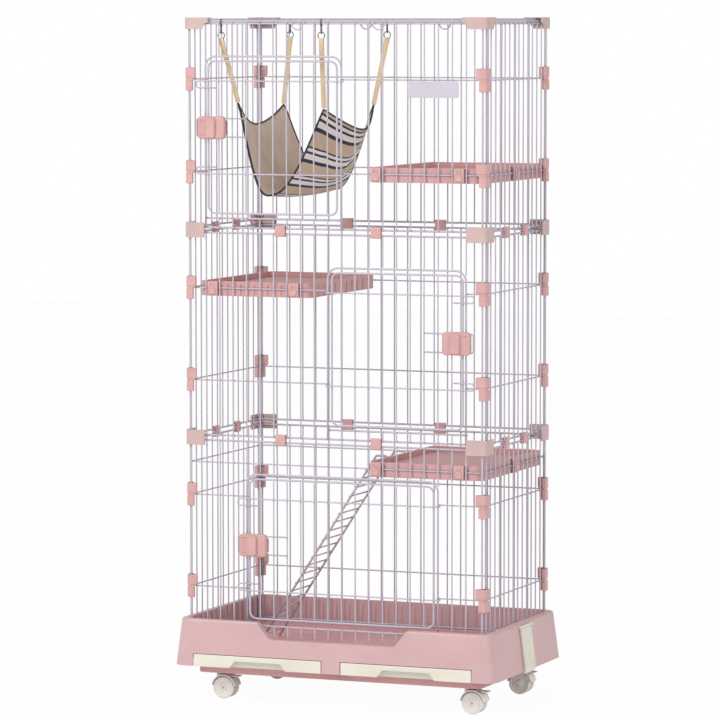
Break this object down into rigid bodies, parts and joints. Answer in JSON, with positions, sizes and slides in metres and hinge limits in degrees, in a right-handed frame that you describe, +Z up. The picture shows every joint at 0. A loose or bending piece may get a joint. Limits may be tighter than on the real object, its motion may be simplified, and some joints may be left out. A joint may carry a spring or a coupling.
{
  "type": "cat cage",
  "caption": "Tall wire cat cage on a moulded tray base with casters, shelves, ladder, hammock and waste drawers.",
  "frame": {"origin": "centre of the whole cage's box, on the floor under the casters", "axes": "+Z up, -Y to the front with the doors, +X to the right seen from the front"},
  "size_m": [0.7898, 0.458, 1.5471],
  "materials": {
    "wire": "satin",
    "clip_plastic": "satin",
    "connector_plastic": "satin",
    "shelf_plastic": "satin",
    "base_plastic": "gloss",
    "tray_plastic": "satin",
    "cream_plastic": "gloss",
    "ladder_plastic": "satin",
    "plate_plastic": "satin",
    "hammock_fabric": "woven",
    "webbing": "woven",
    "gunmetal": "satin",
    "caster_plastic": "gloss",
    "axle_steel": "satin",
    "wheel_plastic": "satin"
  },
  "bodies": {
    "root": {"back_panel_lower": "wire", "back_panel_middle": "wire", "back_panel_upper": "wire", "base_shell": "base_plastic", "clasp_lugs": "cream_plastic", "corner_caps": "connector_plastic", "corner_clips": "clip_plastic", "doorway_hoops": "wire", "floor_grate_left": "tray_plastic", "floor_grate_right": "tray_plastic", "front_panel_lower": "wire", "front_panel_middle": "wire", "front_panel_upper": "wire", "hammock_cloth": "hammock_fabric", "hammock_hooks": "gunmetal", "hammock_rings": "gunmetal", "hammock_straps": "webbing", "label_plate": "plate_plastic", "left_panel_lower": "wire", "left_panel_middle": "wire", "left_panel_upper": "wire", "plinth": "tray_plastic", "right_panel_lower": "wire", "right_panel_middle": "wire", "right_panel_upper": "wire", "roof_loops": "wire", "roof_panel": "wire", "seam_clips": "clip_plastic", "shelf_clips": "clip_plastic", "shelf_lower": "shelf_plastic", "shelf_middle": "shelf_plastic", "shelf_upper": "shelf_plastic", "tier_connectors": "connector_plastic"},
    "door_upper": {"door_upper": "wire"},
    "latch_upper": {"latch_upper": "clip_plastic"},
    "door_middle": {"door_middle": "wire"},
    "latch_middle": {"latch_middle": "clip_plastic"},
    "door_lower": {"door_lower": "wire"},
    "latch_lower": {"latch_lower": "clip_plastic"},
    "drawer_left": {"drawer_left": "cream_plastic"},
    "clasp_left": {"side_clasp_left": "cream_plastic"},
    "drawer_right": {"drawer_right": "cream_plastic"},
    "clasp_right": {"side_clasp_right": "cream_plastic"},
    "ladder": {"ladder": "ladder_plastic"},
    "caster_front_left_swivel": {"caster_front_left_hood": "caster_plastic", "caster_front_left_axle": "axle_steel"},
    "caster_front_left_wheel_pair": {"caster_front_left_wheels": "wheel_plastic"},
    "caster_front_left_lever": {"caster_front_left_brake": "caster_plastic"},
    "caster_front_right_swivel": {"caster_front_right_hood": "caster_plastic", "caster_front_right_axle": "axle_steel"},
    "caster_front_right_wheel_pair": {"caster_front_right_wheels": "wheel_plastic"},
    "caster_front_right_lever": {"caster_front_right_brake": "caster_plastic"},
    "caster_back_left_swivel": {"caster_back_left_hood": "caster_plastic", "caster_back_left_axle": "axle_steel"},
    "caster_back_left_wheel_pair": {"caster_back_left_wheels": "wheel_plastic"},
    "caster_back_left_lever": {"caster_back_left_brake": "caster_plastic"},
    "caster_back_right_swivel": {"caster_back_right_hood": "caster_plastic", "caster_back_right_axle": "axle_steel"},
    "caster_back_right_wheel_pair": {"caster_back_right_wheels": "wheel_plastic"},
    "caster_back_right_lever": {"caster_back_right_brake": "caster_plastic"}
  },
  "joints": [
    {"name": "door_upper_hinge", "type": "hinge", "parent": "root", "child": "door_upper", "pos_m": [0.0165, -0.20165, 1.3045], "axis": [0, 0, 1], "range_deg": [0, 165]},
    {"name": "latch_upper_slide", "type": "slide", "parent": "door_upper", "child": "latch_upper", "axis": [1, 0, 0], "range_m": [0, 0.025]},
    {"name": "door_middle_hinge", "type": "hinge", "parent": "root", "child": "door_middle", "pos_m": [-0.0165, -0.20165, 0.8345], "axis": [0, 0, -1], "range_deg": [0, 165]},
    {"name": "latch_middle_slide", "type": "slide", "parent": "door_middle", "child": "latch_middle", "axis": [-1, 0, 0], "range_m": [0, 0.025]},
    {"name": "door_lower_hinge", "type": "hinge", "parent": "root", "child": "door_lower", "pos_m": [0.2475, -0.20165, 0.3645], "axis": [0, 0, 1], "range_deg": [0, 165]},
    {"name": "latch_lower_slide", "type": "slide", "parent": "door_lower", "child": "latch_lower", "axis": [1, 0, 0], "range_m": [0, 0.025]},
    {"name": "drawer_left_slide", "type": "slide", "parent": "root", "child": "drawer_left", "axis": [0, -1, 0], "range_m": [0, 0.33]},
    {"name": "clasp_left_hinge", "type": "hinge", "parent": "root", "child": "clasp_left", "pos_m": [-0.38155, 0, 0.18], "axis": [0, 1, 0], "range_deg": [0, 120]},
    {"name": "drawer_right_slide", "type": "slide", "parent": "root", "child": "drawer_right", "axis": [0, -1, 0], "range_m": [0, 0.33]},
    {"name": "clasp_right_hinge", "type": "hinge", "parent": "root", "child": "clasp_right", "pos_m": [0.38155, 0, 0.18], "axis": [0, -1, 0], "range_deg": [0, 120]},
    {"name": "ladder_hinge", "type": "hinge", "parent": "root", "child": "ladder", "pos_m": [0.075, -0.0835, 0.567], "axis": [0, 1, 0], "range_deg": [0, 22]},
    {"name": "caster_front_left_swivel_turn", "type": "hinge", "parent": "root", "child": "caster_front_left_swivel", "pos_m": [-0.3027, -0.1534, 0.057], "axis": [0, 0, 1], "continuous": true},
    {"name": "caster_front_left_spin", "type": "hinge", "parent": "caster_front_left_swivel", "child": "caster_front_left_wheel_pair", "pos_m": [-0.2887, -0.1534, 0.025], "axis": [0, 1, 0], "continuous": true},
    {"name": "caster_front_left_brake_hinge", "type": "hinge", "parent": "caster_front_left_swivel", "child": "caster_front_left_lever", "pos_m": [-0.2697, -0.1534, 0.0505], "axis": [0, 1, 0], "range_deg": [0, 12]},
    {"name": "caster_front_right_swivel_turn", "type": "hinge", "parent": "root", "child": "caster_front_right_swivel", "pos_m": [0.3027, -0.1534, 0.057], "axis": [0, 0, 1], "continuous": true},
    {"name": "caster_front_right_spin", "type": "hinge", "parent": "caster_front_right_swivel", "child": "caster_front_right_wheel_pair", "pos_m": [0.3167, -0.1534, 0.025], "axis": [0, 1, 0], "continuous": true},
    {"name": "caster_front_right_brake_hinge", "type": "hinge", "parent": "caster_front_right_swivel", "child": "caster_front_right_lever", "pos_m": [0.3357, -0.1534, 0.0505], "axis": [0, 1, 0], "range_deg": [0, 12]},
    {"name": "caster_back_left_swivel_turn", "type": "hinge", "parent": "root", "child": "caster_back_left_swivel", "pos_m": [-0.3027, 0.1534, 0.057], "axis": [0, 0, 1], "continuous": true},
    {"name": "caster_back_left_spin", "type": "hinge", "parent": "caster_back_left_swivel", "child": "caster_back_left_wheel_pair", "pos_m": [-0.2887, 0.1534, 0.025], "axis": [0, 1, 0], "continuous": true},
    {"name": "caster_back_left_brake_hinge", "type": "hinge", "parent": "caster_back_left_swivel", "child": "caster_back_left_lever", "pos_m": [-0.2697, 0.1534, 0.0505], "axis": [0, 1, 0], "range_deg": [0, 12]},
    {"name": "caster_back_right_swivel_turn", "type": "hinge", "parent": "root", "child": "caster_back_right_swivel", "pos_m": [0.3027, 0.1534, 0.057], "axis": [0, 0, 1], "continuous": true},
    {"name": "caster_back_right_spin", "type": "hinge", "parent": "caster_back_right_swivel", "child": "caster_back_right_wheel_pair", "pos_m": [0.3167, 0.1534, 0.025], "axis": [0, 1, 0], "continuous": true},
    {"name": "caster_back_right_brake_hinge", "type": "hinge", "parent": "caster_back_right_swivel", "child": "caster_back_right_lever", "pos_m": [0.3357, 0.1534, 0.0505], "axis": [0, 1, 0], "range_deg": [0, 12]}
  ]
}
